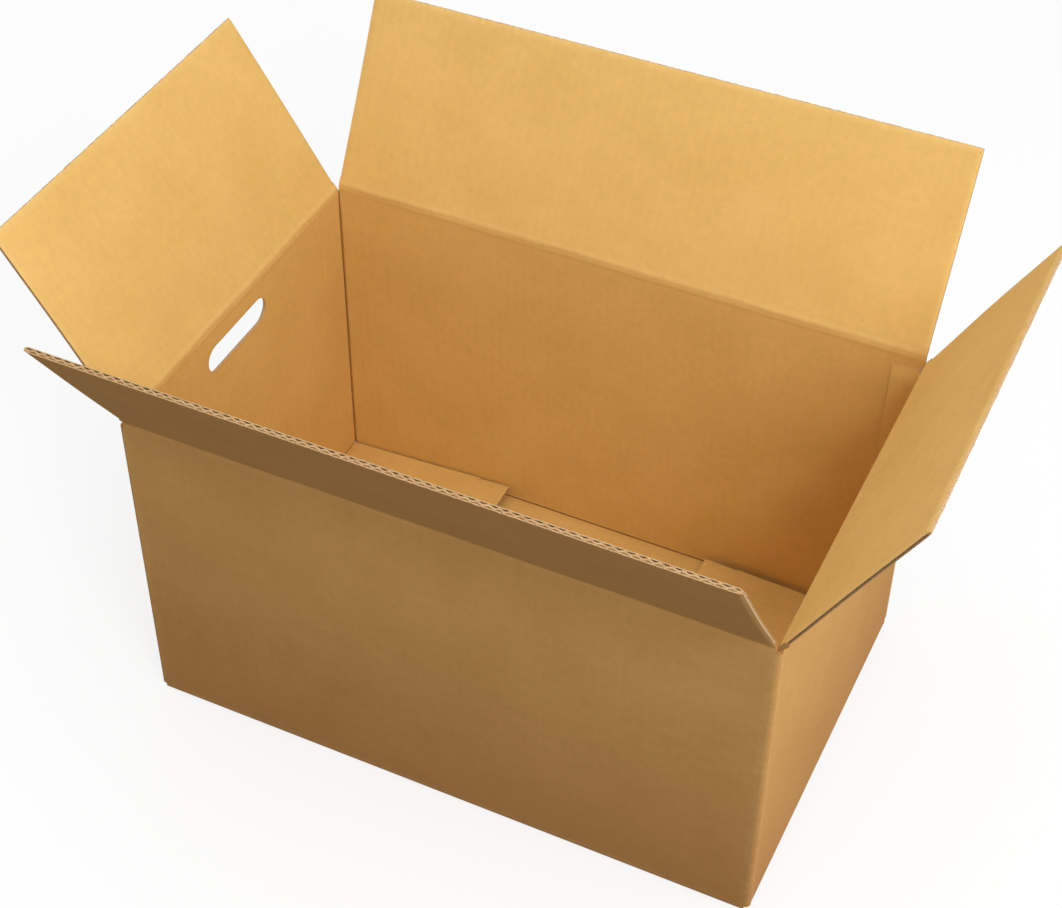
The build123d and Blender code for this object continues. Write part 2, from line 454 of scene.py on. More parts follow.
@dataclass(frozen=True, kw_only=True)
class KraftLiner(Finish):
    """Machine-made kraft linerboard: matte, cloudy, with short fibres and a faint washboard.

    The liner sinks a little between the flute tips it is glued to, which the eye reads as soft
    upright stripes one flute apart. Rubbed folds go paler, and crushed score lines, folds and hole
    rims darker, partly crushed paper and partly painted shade.
    """

    cloud_colour: str
    fleck_colour: str = "#9C6C34"
    rubbed_colour: str = "#EBCB96"
    # Darker tint where the board is crushed: partly real, partly painted shade in creases, folds and hole
    # rims
    crushed_colour: str = "#A9773A"
    # Painted shade: the liner is painted darker towards the floor, standing in for the light falling off
    # lower down
    foot_colour: str = "#FFFFFF"
    foot_height: float = 260.0
    roughness: float = 0.86
    ior: float = 1.45
    specular: float = 0.3
    cloud_size: float = 70.0
    cloud_span: tuple[float, float] = (0.35, 0.68)
    formation_size: float = 9.0
    formation_span: tuple[float, float] = (0.3, 0.7)
    formation_tones: tuple[float, float] = (0.955, 1.035)
    # One fibre is about 0.03 mm wide, too fine to show, so clumps of this width are drawn
    fibre_width: float = 0.7
    fibre_length: float = 5.0
    fibre_height: float = 0.03
    fleck_span: tuple[float, float] = (0.62, 0.80)
    fleck_share: float = 0.35
    scuff_span: tuple[float, float] = (0.38, 0.62)
    scuff_shares: tuple[float, float] = (0.15, 0.6)
    washboard_height: float = 0.015
    flute_tone: float = 0.014

    def _paint(self, tree: bpy.types.NodeTree) -> tuple[bpy.types.NodeSocket, bpy.types.NodeSocket]:
        """Lay the liner's tones over each other, by the flat-blank coordinates kept on the mesh.

        Args:
            tree: Node tree of the material.

        Returns:
            Sockets of the colour, and of the height in millimetres.
        """
        blank = add_node(tree, "ShaderNodeAttribute", attribute_name="blank").outputs["Vector"]
        wear = add_node(tree, "ShaderNodeAttribute", attribute_name="wear").outputs["Fac"]
        crease = add_node(tree, "ShaderNodeAttribute", attribute_name="crease").outputs["Fac"]
        up = add_node(tree, "ShaderNodeSeparateXYZ", {"Vector": blank}).outputs["Y"]
        clouds = add_node(
            tree, "ShaderNodeTexNoise",
            {"Vector": blank, "Scale": 1.0 / self.cloud_size, "Detail": 3.0, "Roughness": 0.6},
        ).outputs["Fac"]
        formation = add_node(
            tree, "ShaderNodeTexNoise",
            {"Vector": blank, "Scale": 1.0 / self.formation_size, "Detail": 4.0, "Roughness": 0.65},
        ).outputs["Fac"]
        # The sheet's fibres lie mostly across the flutes, as the paper machine left them
        lying = add_node(
            tree, "ShaderNodeMapping",
            {"Vector": blank, "Scale": (1.0 / self.fibre_length, 1.0 / self.fibre_width, 1.0)},
        ).outputs["Vector"]
        fibres = add_node(
            tree, "ShaderNodeTexNoise", {"Vector": lying, "Scale": 1.0, "Detail": 2.0, "Distortion": 0.6},
        ).outputs["Fac"]
        flute_scale = 2.0 * math.pi / (WAVE_RATE * BOARD.flute_pitch)
        flutes = add_node(
            tree, "ShaderNodeTexWave",
            {"Vector": blank, "Scale": flute_scale, "Distortion": 0.25, "Detail": 1.0},
            wave_type="BANDS", bands_direction="X", wave_profile="SIN",
        ).outputs["Fac"]
        ranges = (
            (clouds, self.cloud_span, (0.0, 1.0)),
            (formation, self.formation_span, self.formation_tones),
            (flutes, (0.0, 1.0), (1.0 - self.flute_tone / 2, 1.0 + self.flute_tone / 2)),
            # Share of the painted shade at the foot, fading out by the given height
            (up, (0.0, self.foot_height), (1.0, 0.0)),
            (fibres, self.fleck_span, (0.0, self.fleck_share)),
            (formation, self.scuff_span, self.scuff_shares),
        )
        cloudy, formed, striped, low, flecked, scuffed = (
            add_node(
                tree, "ShaderNodeMapRange",
                {"Value": value, "From Min": a, "From Max": b, "To Min": start, "To Max": end},
            ).outputs["Result"]
            for value, (a, b), (start, end) in ranges
        )
        tone = add_node(tree, "ShaderNodeMath", {0: formed, 1: striped}, operation="MULTIPLY").outputs[0]
        rubbed = add_node(tree, "ShaderNodeMath", {0: wear, 1: scuffed}, operation="MULTIPLY").outputs[0]
        layers = (
            ("MIX", cloudy, linear_rgba(self.cloud_colour)),
            ("MULTIPLY", 1.0, tone),
            # Painted shade, darker towards the foot
            ("MULTIPLY", low, linear_rgba(self.foot_colour)),
            ("MIX", flecked, linear_rgba(self.fleck_colour)),
            ("MIX", rubbed, linear_rgba(self.rubbed_colour)),
            # Partly crushed paper, partly painted shade in creases, folds and hole rims
            ("MIX", crease, linear_rgba(self.crushed_colour)),
        )
        colour = linear_rgba(self.colour)
        for blend, share, layer in layers:
            colour = add_node(
                tree, "ShaderNodeMix", {MIX_SHARE: share, MIX_FIRST: colour, MIX_SECOND: layer},
                data_type="RGBA", blend_type=blend,
            ).outputs[MIX_RESULT]
        board_height = add_node(
            tree, "ShaderNodeMath", {0: flutes, 1: self.washboard_height}, operation="MULTIPLY",
        ).outputs[0]
        height = add_node(
            tree, "ShaderNodeMath", {0: fibres, 1: self.fibre_height, 2: board_height},
            operation="MULTIPLY_ADD",
        ).outputs[0]
        return colour, height


@dataclass(frozen=True, kw_only=True)
class RawPaper(Finish):
    """Uncoated paper inside the board: torn and cut edges, and the fluted medium.

    It has no finished face, so it is dull and uneven, with a speckle of loose fibre ends. The
    speckle's grain is drawn coarser than single fibre ends, which are too fine to show.
    """

    shade_colour: str
    grain_size: float
    grain_span: tuple[float, float] = (0.34, 0.66)
    roughness: float = 0.95
    specular: float = 0.2
    bump_strength: float = 0.6
    bump_depth: float = 0.2

    def _paint(self, tree: bpy.types.NodeTree) -> tuple[bpy.types.NodeSocket, bpy.types.NodeSocket]:
        """Speckle the paper.

        Args:
            tree: Node tree of the material.

        Returns:
            Sockets of the colour and of the height.
        """
        place = add_node(tree, "ShaderNodeTexCoord").outputs["Object"]
        grain = add_node(
            tree, "ShaderNodeTexNoise",
            {"Vector": place, "Scale": 1.0 / (self.grain_size * MM), "Detail": 4.0, "Roughness": 0.7},
        ).outputs["Fac"]
        low, high = self.grain_span
        speckle = add_node(
            tree, "ShaderNodeMapRange", {"Value": grain, "From Min": low, "From Max": high},
        ).outputs["Result"]
        shade, light = linear_rgba(self.shade_colour), linear_rgba(self.colour)
        colour = add_node(
            tree, "ShaderNodeMix", {MIX_SHARE: speckle, MIX_FIRST: shade, MIX_SECOND: light},
            data_type="RGBA",
        ).outputs[MIX_RESULT]
        return colour, grain


@dataclass(frozen=True, kw_only=True)
class PackingTape(Finish):
    """Brown polypropylene packing tape: a smooth film that wrinkles a little and shows the board."""

    name: str = "polypropylene_tape_extruded_film"
    colour: str = "#8A6230"
    thin_colour: str = "#9C743E"
    wrinkle_length: float = 60.0
    wrinkle_width: float = 6.0
    roughness: float = 0.34
    ior: float = 1.49
    bump_strength: float = 0.5
    bump_depth: float = 0.2

    def _paint(self, tree: bpy.types.NodeTree) -> tuple[bpy.types.NodeSocket, bpy.types.NodeSocket]:
        """Draw long shallow wrinkles across the film.

        Args:
            tree: Node tree of the material.

        Returns:
            Sockets of the colour and of the height.
        """
        place = add_node(tree, "ShaderNodeTexCoord").outputs["Object"]
        scale = (1.0 / (self.wrinkle_width * MM), 1.0 / (self.wrinkle_length * MM), 1.0)
        stretched = add_node(tree, "ShaderNodeMapping", {"Vector": place, "Scale": scale}).outputs["Vector"]
        wrinkles = add_node(
            tree, "ShaderNodeTexNoise", {"Vector": stretched, "Scale": 1.0, "Detail": 2.0},
        ).outputs["Fac"]
        film, thin = linear_rgba(self.colour), linear_rgba(self.thin_colour)
        colour = add_node(
            tree, "ShaderNodeMix", {MIX_SHARE: wrinkles, MIX_FIRST: film, MIX_SECOND: thin},
            data_type="RGBA",
        ).outputs[MIX_RESULT]
        return colour, wrinkles


def make_papers() -> list[bpy.types.Material]:
    """Make the board's materials.

    Returns:
        Materials in the order of the Skin values.
    """
    # Browner and darker than the inside; this darker tone is partly painted shade on the box's outer faces
    outside = KraftLiner(
        name="kraft_liner_outside_calendered",
        colour="#CD9C5A", cloud_colour="#C79655", foot_colour="#E3D8D8",
    )
    # Paler and more golden than the outside, whose darker tone is partly painted shade
    inside = KraftLiner(name="kraft_liner_inside_calendered", colour="#E4BA6E", cloud_colour="#DEB467")
    # The knife raises pale fibre ends along each cut
    cut = RawPaper(
        name="kraft_board_raw_cut_edge", colour="#DBB98D", shade_colour="#AE8658", grain_size=1.2,
    )
    # A coarser pulp, duller and browner than the liners
    medium = RawPaper(
        name="semichemical_fluting_medium", colour="#BF9259", shade_colour="#96703F", grain_size=2.5,
    )
    return [finish.material() for finish in (outside, inside, cut, medium)]


@dataclass
class FlutedPly:
    """Stretch of open board: two liners and the waved medium glued between them.

    The papers swell into loose fibres where they are cut, and the cut edge may be pressed
    partly shut, so that the flutes show there as small uneven dark holes.
    """

    half: float
    start: float
    end: float
    place: Placing
    blank: Callable[[Array, Array], tuple[Array, Array]]
    seed: int
    closed_sides: tuple[int, ...] = (-1, 1)
    # Spacing of the mesh
    row_spacing: float = 22.0
    edge_rows: tuple[float, ...] = (12.0, 7.0, 4.0, 2.0, 0.8, 0.0)
    side_lines: tuple[float, ...] = (0.0, 0.7, 1.6, 3.2)
    waves_per_flute: int = 12
    columns_per_flute: int = 4
    # How the knife presses the cuts shut
    crush: float = 0.15
    crush_run: float = 5.0
    crush_least: float = 0.7
    crush_spread: float = 0.6
    pinch: float = 1.1
    pinch_width: float = 2.2
    fill_depths: tuple[float, float] = (1.1, 4.0)
    # Loose and uneven paper at the cut edge
    fray: float = 0.45
    fray_run: float = 4.0
    scallop: float = 0.2
    liner_swell: float = 0.4
    medium_swell: float = 1.0
    swell_run: float = 2.2
    uneven_height: float = 0.5
    uneven_shift: float = 1.8
    wear_width: float = 2.5
    edge_wear: float = 0.5

    def __post_init__(self) -> None:
        """Set the rows up the flap and the random draws that the plies share."""
        near_edge = self.end - np.array(self.edge_rows)
        count = max(2, int((near_edge[0] - self.start) / self.row_spacing) + 1)
        self.rows = np.concatenate((np.linspace(self.start, near_edge[0], count)[:-1], near_edge))
        self.draw = np.random.default_rng(self.seed)
        self.flute_places = np.arange(-self.half, self.half + BOARD.flute_pitch, BOARD.flute_pitch)
        draws = self.draw.random((3, len(self.flute_places)))
        self.crush_draws, self.height_draws, self.shift_draws = draws

    def _columns(self) -> Array:
        """Work out the places along the width, with a few close lines at each side cut.

        Returns:
            Places in growing order.
        """
        sides = np.array(self.side_lines)
        step = BOARD.flute_pitch / self.columns_per_flute
        count = int(round(2 * (self.half - sides[-1]) / step)) + 1
        middle = np.linspace(-self.half + sides[-1], self.half - sides[-1], count)
        return np.concatenate((-self.half + sides[:-1], middle, self.half - sides[-2::-1]))

    def _per_flute(self, draws: Array, x: Array) -> Array:
        """A random draw for each flute, eased between them."""
        return np.interp(x, self.flute_places, draws)

    def _pressed(self, x: Array, s: Array) -> Array:
        """Work out how far each liner is pressed in, at the side cuts and at the cut edge.

        Args:
            x: Places along the width.
            s: Distances up the board.

        Returns:
            Depths, at most to where the liners close on the medium.
        """
        most = BOARD.thickness / 2 - BOARD.liner - BOARD.medium
        at_edge = smooth(1.0 - (self.end - s) / self.crush_run)
        uneven = self.crush_least + self.crush_spread * self._per_flute(self.crush_draws, x)
        at_side = self.pinch * bell(self.half - np.abs(x), self.pinch_width)
        return np.clip(most * self.crush * uneven * at_edge + at_side, 0.0, most)

    def _papers(self, s: Array) -> tuple[Array, Array]:
        """Thickness of a liner and of the medium, swollen towards the cut edge."""
        swollen = bell(self.end - s, self.swell_run)
        return BOARD.liner + self.liner_swell * swollen, BOARD.medium + self.medium_swell * swollen

    def _frayed(self, s: Array, draws: Array) -> Array:
        """Distances up the flap with the last rows frayed back by a small random amount."""
        return s - self.fray * draws[None, :] * smooth(1.0 - (self.end - s) / self.fray_run)

    def add_to(self, sheet: Sheet) -> None:
        """Add the two liners, the medium, its loose fibre and the pressed side cuts.

        Args:
            sheet: Sheet that takes them.
        """
        self._add_liner(sheet, True)
        self._add_liner(sheet, False)
        self._add_medium(sheet)
        self._add_fill(sheet)
        for side in self.closed_sides:
            self._add_side(sheet, side)

    def _add_liner(self, sheet: Sheet, outside: bool) -> None:
        """Add one liner.

        Args:
            sheet: Sheet that takes the liner.
            outside: Whether it is the liner on the outside of the box.
        """
        s, x = grid(self.rows, self._columns())
        to_side, to_cut = self.half - np.abs(x), self.end - s
        wear = self.edge_wear * np.maximum(bell(to_side, self.wear_width), bell(to_cut, self.wear_width))
        crests = (1.0 + (1.0 if outside else -1.0) * np.cos(2 * math.pi * x / BOARD.flute_pitch)) / 2
        depth = self._pressed(x, s) + self.scallop * bell(to_cut, self.swell_run) * crests
        liner, _ = self._papers(s)
        if outside:
            faces = depth, depth + liner
            skins = (Skin.OUTSIDE, Skin.MEDIUM, Skin.CUT)
        else:
            faces = BOARD.thickness - depth - liner, BOARD.thickness - depth
            skins = (Skin.MEDIUM, Skin.INSIDE, Skin.CUT)
        up = self._frayed(s, self.draw.random(x.shape[1]))
        sheet.patch(
            self.place(x, faces[0], up), self.place(x, faces[1], up), self.blank(x, up),
            skins, wear=wear, shell=(self.seed, "outer liner" if outside else "inner liner"),
        )

    def _add_medium(self, sheet: Sheet) -> None:
        """Add the waved medium between the liners.

        Args:
            sheet: Sheet that takes the medium.
        """
        count = int(2 * self.half / BOARD.flute_pitch * self.waves_per_flute)
        inset = self.side_lines[1]
        s, x = grid(self.rows, np.linspace(-self.half + inset, self.half - inset, count))
        near_cut = bell(self.end - s, self.crush_run)
        liner, medium = self._papers(s)
        room = BOARD.thickness / 2 - self._pressed(x, s) - liner - medium / 2
        lower = self.uneven_height * self._per_flute(self.height_draws, x) * near_cut
        swing = np.maximum(room, 0.0) * (1.0 - lower)
        shifted = x + self.uneven_shift * (self._per_flute(self.shift_draws, x) - 0.5) * near_cut
        wave = BOARD.thickness / 2 - swing * np.cos(2 * math.pi * shifted / BOARD.flute_pitch)
        up = self._frayed(s, self.draw.random(x.shape[1]))
        sheet.patch(
            self.place(x, wave - medium / 2, up), self.place(x, wave + medium / 2, up), self.blank(x, up),
            (Skin.MEDIUM, Skin.MEDIUM, Skin.CUT), shell=(self.seed, "medium"),
        )

    def _add_fill(self, sheet: Sheet) -> None:
        """Add the loose fibre that the knife has pushed into the mouths of the flutes.

        The knife comes from the outside of the sheet, so the flutes on that side are filled
        almost to the cut.

        Args:
            sheet: Sheet that takes the fibre.
        """
        middle = BOARD.thickness / 2
        reach = self.half - self.side_lines[2]
        for number, depth in enumerate(self.fill_depths):
            level = self.end - depth
            skin = self._pressed(np.array(0.0), level) + BOARD.liner / 2
            low, high = (skin, middle) if number == 0 else (middle, BOARD.thickness - skin)
            n, x = grid(np.array([low, high]), np.array([-reach, reach]))
            top, foot = np.full(x.shape, level), np.full(x.shape, level - BOARD.medium)
            sheet.patch(
                self.place(x, n, top), self.place(x, n, foot), self.blank(x, top),
                (Skin.MEDIUM, Skin.MEDIUM, Skin.MEDIUM), shell=(self.seed, "fill", number),
            )

    def _add_side(self, sheet: Sheet, side: int) -> None:
        """Add the paper that the knife has pressed shut along a side cut.

        Args:
            sheet: Sheet that takes the pressed edge.
            side: -1 or 1, for the end of x that it closes.
        """
        near, far = self.half - self.side_lines[2], self.half - self.side_lines[1] / 2
        s, across = grid(self.rows[:-1], np.array([0.0, 1.0]))
        liner, _ = self._papers(s)
        depth = self._pressed(side * far, s) + liner / 2
        n = depth + across * (BOARD.thickness - 2 * depth)
        sheet.patch(
            self.place(side * far, n, s), self.place(side * near, n, s), self.blank(side * far, s),
            (Skin.CUT, Skin.MEDIUM, Skin.CUT), shell=(self.seed, side),
        )


@dataclass
class TopFlap:
    """One top flap: its fluted board and the crushed score strip that joins it to the wall."""

    panel: Panel
    edge_crush: float = 0.8
    closed_sides: tuple[int, ...] = (-1, 1)
    # Warp of the flap
    belly: float = 1.0
    belly_turn: float = 2.1
    belly_even_share: float = 0.7
    # Rows across the score, and width of its columns
    score_rows: int = 21
    score_column: float = 4.0
    # The score wanders a little from a straight line, in a long wave and a short one
    crease_wander: float = 0.5
    long_wander: float = 23.0
    short_wander: float = 9.1
    short_phase: float = 1.7
    short_share: float = 0.6
    # Dents of the crushed papers, and their darker tint, which is partly crushed paper and partly painted
    # shade in the crease
    inner_dent: float = 0.22
    outer_dent: float = 0.5
    dent_width: float = 1.6
    dent_fade: float = 3.0
    crease_tint: float = 0.16
    tint_wave: float = 31.0
    tint_spread: float = 0.5

    def _outward(self, x: Array, s: Array) -> Array:
        """Work out how far the flap has warped outwards, nothing at its score and at its cut edge.

        Args:
            x: Places along the score.
            s: Distances from the score's axis, up the flap.

        Returns:
            Distances outwards.
        """
        up = np.clip((s - BOARD.score_flap_run) / (self.panel.reach - BOARD.score_flap_run), 0.0, 1.0)
        across = np.sin(self.belly_turn * x / self.panel.flap_half + self.panel.blank_u)
        uneven = self.belly_even_share + (1.0 - self.belly_even_share) * across
        return self.belly * np.square(np.sin(math.pi * up)) * uneven

    def _place(self, x: Array, n: Array, s: Array) -> Array:
        """Points of the warped flap in the box's frame."""
        return self.panel.place_leaned(x, n - self._outward(x, s), s)

    def _blank(self, x: Array, s: Array) -> tuple[Array, Array]:
        """Where points of the flap lie on the flat blank."""
        return self.panel.blank_u + x, self.panel.score_z + s

    def build_board(self, papers: list[bpy.types.Material]) -> bpy.types.Object:
        """Make the flap's board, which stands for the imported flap.

        Args:
            papers: Materials in the order of the Skin values.

        Returns:
            The flap, riding on its own body.
        """
        panel = self.panel
        sheet = Sheet()
        FlutedPly(
            panel.flap_half, BOARD.score_flap_run, panel.reach, self._place, self._blank,
            seed=panel.side.number + 1, crush=self.edge_crush, closed_sides=self.closed_sides,
        ).add_to(sheet)
        made = sheet.build(f"{panel.side.word}_flap_board", papers)
        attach(made, f"{panel.side.word}_flap")
        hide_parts(f"top_flap_{panel.side.word}")
        return made

    def build_score(self, papers: list[bpy.types.Material]) -> bpy.types.Object:
        """Make the score strip, which bends between the wall and the flap.

        Args:
            papers: Materials in the order of the Skin values.

        Returns:
            The strip, shaped for the flap's rest lean and left in the box's frame.
        """
        panel = self.panel
        turn = BOARD.score_turn
        bend = np.linspace(-turn, turn, self.score_rows)
        rows = np.concatenate(([-BOARD.score_wall_run], bend, [BOARD.score_flap_run]))
        count = int(2 * panel.flap_half / self.score_column)
        s, x = grid(rows, np.linspace(-panel.flap_half, panel.flap_half, count))
        share = smooth((s + turn) / (2 * turn))
        long_wave = np.sin(x / self.long_wander + panel.blank_u)
        short_wave = np.sin(x / self.short_wander + self.short_phase)
        wander = self.crease_wander * (long_wave + self.short_share * short_wave)
        line = bell(s - wander, self.dent_width)
        held = smooth((BOARD.score_flap_run - np.abs(s)) / self.dent_fade)
        low = self.outer_dent * line * held
        high = BOARD.thickness - self.inner_dent * line * held
        uneven = 1.0 + self.tint_spread * np.sin(x / self.tint_wave + panel.blank_u)
        sheet = Sheet()
        sheet.patch(
            panel.place_leaned(x, low, s, share), panel.place_leaned(x, high, s, share),
            self._blank(x, s), (Skin.OUTSIDE, Skin.INSIDE, Skin.MEDIUM),
            # The crease mark darkens the score's line, partly as painted shade in the crease
            wear=self.crease_tint * bell(s - turn / 2, turn / 2), crease=self.crease_tint * uneven * line,
        )
        made = sheet.build(f"{panel.side.word}_flap_score", papers)
        middle = np.array(BOARD.thickness / 2)
        ends = [
            panel.place_leaned(np.array(0.0), middle, np.array(at), float(at > 0)) * MM
            for at in (-turn, turn)
        ]
        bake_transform(made)
        return made


@dataclass
class BoxSheet:
    """Four walls, glue tab and shut bottom flaps: one sheet folded from its slotted blank."""

    panels: dict[Side, Panel]
    # Walls and the lines of their mesh
    wall_bow: float = 1.6
    ripple: float = 0.35
    ripple_along: float = 61.0
    ripple_up: float = 47.0
    ripple_phase: float = 1.0
    side_lines: tuple[float, ...] = (0.0, 2.0, 5.0, 10.0)
    column_spacing: float = 10.0
    hole_spacing: float = 4.5
    least_spacing: float = 1.0
    wall_rows: int = 25
    block_rows: int = 12
    # Hand holes, the block of wall round each, and their pressed rims
    hand_hole_length: float = 100.0
    hand_hole_height: float = 27.0
    hand_hole_drop: float = 35.5
    hand_hole_offset: float = 8.0
    hand_hole_margin: float = 9.0
    rim_width: float = 4.0
    rim_room_share: float = 0.8
    rim_depth: float = 3.0
    rim_curve: float = 1.4
    rim_wear: float = 0.9
    # Darker tint of the pressed rim: partly crushed paper, partly painted shade in the recess
    rim_tint: float = 0.25
    block_ring_shares: tuple[float, ...] = (1.0, 0.55)
    rim_ring_shares: tuple[float, ...] = (1.0, 0.55, 0.2, 0.0)
    # Folds, with the bulge and the groove that creasing leaves inside them
    fold_rows: int = 9
    fold_step: float = 0.5
    fold_wear: float = 0.2
    wear_width: float = 3.5
    bottom_wear_share: float = 0.3
    crease_bulge: float = 0.5
    bulge_width: float = 5.0
    bulge_fade: float = 15.0
    lip_share: float = 0.6
    groove_reach: int = 2
    # Darker tint along the folds' middle rows: partly crushed paper, partly painted shade in the crease
    corner_tint: float = 0.35
    bottom_tint: float = 0.3
    # Glue tab, and the end of the back wall that laps over its fold
    tab_width: float = 29.0
    tab_columns: int = 6
    tab_thickness: float = 3.0
    tab_settle_share: float = 0.12
    tab_edge: float = 0.4
    tab_press_run: float = 14.0
    tab_flat_share: float = 1.2
    tab_flat_run_share: float = 0.25
    tab_wear_share: float = 0.1
    tab_low_cut: float = 10.0
    tab_high_cut: float = 3.0
    lap_end: float = 1.0
    # Bottom flaps
    meeting_gap: float = 1.5
    bottom_rows: int = 16
    bottom_trim: float = 1.4
    trim_run: float = 12.0
    groove_clearance: float = 0.2
    fluted_end: float = 34.0
    fluted_columns: int = 2
    left_flap_lift: float = 11.0
    right_flap_lift: float = 7.0
    lift_start: float = 9.0
    lift_curve: float = 1.15

    def __post_init__(self) -> None:
        """Work out the heights and fold angles that all walls share."""
        end, long = self.panels[Side.LEFT], self.panels[Side.FRONT]
        self.foot = end.fold_z + BOARD.fold_radius
        self.slot_foot = end.fold_z + BOARD.slot_overcut
        self.end_top = end.score_z - BOARD.score_wall_run
        self.slot_top = end.score_z - BOARD.slot_overcut
        self.long_top = long.score_z - BOARD.score_wall_run
        self.bottom_reach = long.distance - self.meeting_gap / 2
        self.hole_z = end.score_z - self.hand_hole_drop
        self.block_low = self.hole_z - self.hand_hole_height / 2 - self.hand_hole_margin
        reach = self.hand_hole_length / 2 + self.hand_hole_margin
        self.block_sides = (self.hand_hole_offset - reach, self.hand_hole_offset + reach)
        low = np.linspace(self.foot, self.block_low, self.wall_rows)
        block = np.linspace(self.block_low, self.end_top, self.block_rows)
        self.heights = np.concatenate((low, block[1:]))
        self.turns = np.radians(np.linspace(0.0, 90.0, self.fold_rows))

    def _bow(self, panel: Panel, x: Array, z: Array) -> Array:
        """Work out how far a wall bellies outwards, nothing along its folds.

        Args:
            panel: The wall.
            x: Places along it.
            z: Heights.

        Returns:
            Distances outwards.
        """
        across = np.sin(math.pi * np.clip((x / panel.flap_half + 1.0) / 2, 0.0, 1.0))
        span = self.end_top - self.foot
        up = np.sin(math.pi * np.clip((z - self.foot) / span, 0.0, 1.0))
        ripple = self.ripple * np.sin(x / self.ripple_along + panel.blank_u)
        ripple = ripple * np.sin(z / self.ripple_up + self.ripple_phase)
        return (self.wall_bow + ripple) * across * up

    def _skins(self, panel: Panel, x: Array, z: Array, dent: Array | float = 0.0) -> tuple[Array, Array]:
        """Place the two faces of a wall.

        Args:
            panel: The wall.
            x: Places along it.
            z: Heights.
            dent: How far the outer face is pressed in.

        Returns:
            Outer and inner points in the box's frame.
        """
        bow = self._bow(panel, x, z)
        to_fold = panel.flap_half - np.abs(x)
        top_fade = smooth((self.end_top - z) / self.bulge_fade)
        bulge = self.crease_bulge * bell(to_fold, self.bulge_width) * top_fade
        narrow = 1.0 - BOARD.groove_mouth / panel.flap_half
        outer = panel.place(x, dent - bow, z)
        inner = panel.place(x * narrow, BOARD.thickness - bow + bulge, z)
        return outer, inner

    def _lines(self, panel: Panel) -> Array:
        """Work out the upright lines of a wall's mesh, with lines at the sides of any hand hole.

        Args:
            panel: The wall. The right one ends early, where it folds in to the glue tab.

        Returns:
            Places along the wall in growing order.
        """
        edge = panel.flap_half
        margins = np.array(self.side_lines)
        stops = [-edge + margins[-1], edge - margins[-1]]
        if panel.side.is_end:
            stops[1:1] = self.block_sides
        runs = []
        for low, high in zip(stops, stops[1:]):
            spacing = self.hole_spacing if (low, high) == self.block_sides else self.column_spacing
            runs.append(np.linspace(low, high, max(2, int((high - low) / spacing) + 1))[:-1])
        lines = np.concatenate((-edge + margins[:-1], *runs, edge - margins[::-1]))
        if panel.side is Side.RIGHT:
            end = panel.half - BOARD.thickness - BOARD.fold_radius
            lines = np.append(lines[lines < end - self.least_spacing], end)
        return lines

    def _wall(self, sheet: Sheet, panel: Panel) -> None:
        """Add a wall between its folds, with its hand hole if it has one.

        Args:
            sheet: Sheet that takes the wall.
            panel: The wall.
        """
        lines = self._lines(panel)
        heights = self.heights
        keep = None
        if panel.side.is_end:
            mid_z, mid_x = grid((heights[:-1] + heights[1:]) / 2, (lines[:-1] + lines[1:]) / 2)
            low, high = self.block_sides
            keep = ~((mid_x > low) & (mid_x < high) & (mid_z > self.block_low))
            self._hand_hole(sheet, panel, lines)
        else:
            heights = np.concatenate((heights, [self.slot_top, self.long_top]))
        z, x = grid(heights, lines)
        outer, inner = self._skins(panel, x, z)
        wear = self.fold_wear * bell(panel.flap_half - np.abs(x), self.wear_width)
        sheet.patch(outer, inner, (panel.blank_u + x, z), wear=wear, keep=keep)

    def _hand_hole(self, sheet: Sheet, panel: Panel, lines: Array) -> None:
        """Add the wall round a hand hole, as rings from its square block to the pressed rim.

        Args:
            sheet: Sheet that takes the rings.
            panel: The end wall.
            lines: Upright grid lines of that wall.
        """
        low, high = self.block_sides
        xs = lines[(lines >= low - TOUCH) & (lines <= high + TOUCH)]
        zs = self.heights[self.heights >= self.block_low - TOUCH]
        loop_x = np.concatenate((xs, np.full(len(zs) - 1, high), xs[-2::-1], np.full(len(zs) - 1, low)))
        loop_z = np.concatenate((
            np.full(len(xs), zs[0]), zs[1:], np.full(len(xs) - 1, zs[-1]), zs[-2::-1],
        ))
        radius = self.hand_hole_height / 2
        straight = self.hand_hole_length / 2 - radius
        core_x = self.hand_hole_offset + np.clip(loop_x - self.hand_hole_offset, -straight, straight)
        away_x, away_z = loop_x - core_x, loop_z - self.hole_z
        away = np.hypot(away_x, away_z)
        room = np.minimum(self.rim_width, self.rim_room_share * (away - radius))
        mouth = radius + room
        rings = [mouth + share * (away - mouth) for share in self.block_ring_shares]
        rings += [radius + share * room for share in self.rim_ring_shares]
        out = np.array(rings)
        ring_x = core_x + away_x / away * out
        ring_z = self.hole_z + away_z / away * out
        press = 1.0 - np.clip((out - radius) / room, 0.0, 1.0)
        outer, inner = self._skins(panel, ring_x, ring_z, self.rim_depth * press ** self.rim_curve)
        sheet.patch(
            outer, inner, (panel.blank_u + ring_x, ring_z),
            # The pressed rim is tinted darker, partly as painted shade
            wear=self.rim_wear * press ** 2, crease=self.rim_tint * press,
        )

    def _groove(self) -> tuple[Array, Array]:
        """Work out the groove that a crease leaves across an inner corner.

        Returns:
            Distances from the corner along the first wall, and along the second.
        """
        proud = self.lip_share * self.crease_bulge
        rows = np.linspace(0.0, 2.0, self.fold_rows)
        along = np.interp(rows, (0.0, 1.0, 2.0), (BOARD.groove_mouth, -BOARD.groove_depth, proud))
        return along, along[::-1]

    def _crushed(self, count: int, middle: int, tint: float) -> Array:
        """Tint of the rows nearest a fold's middle row: partly crushed paper, partly painted shade in the
        crease.
        """
        return np.where(np.abs(np.arange(count) - middle) <= self.groove_reach, tint, 0.0)

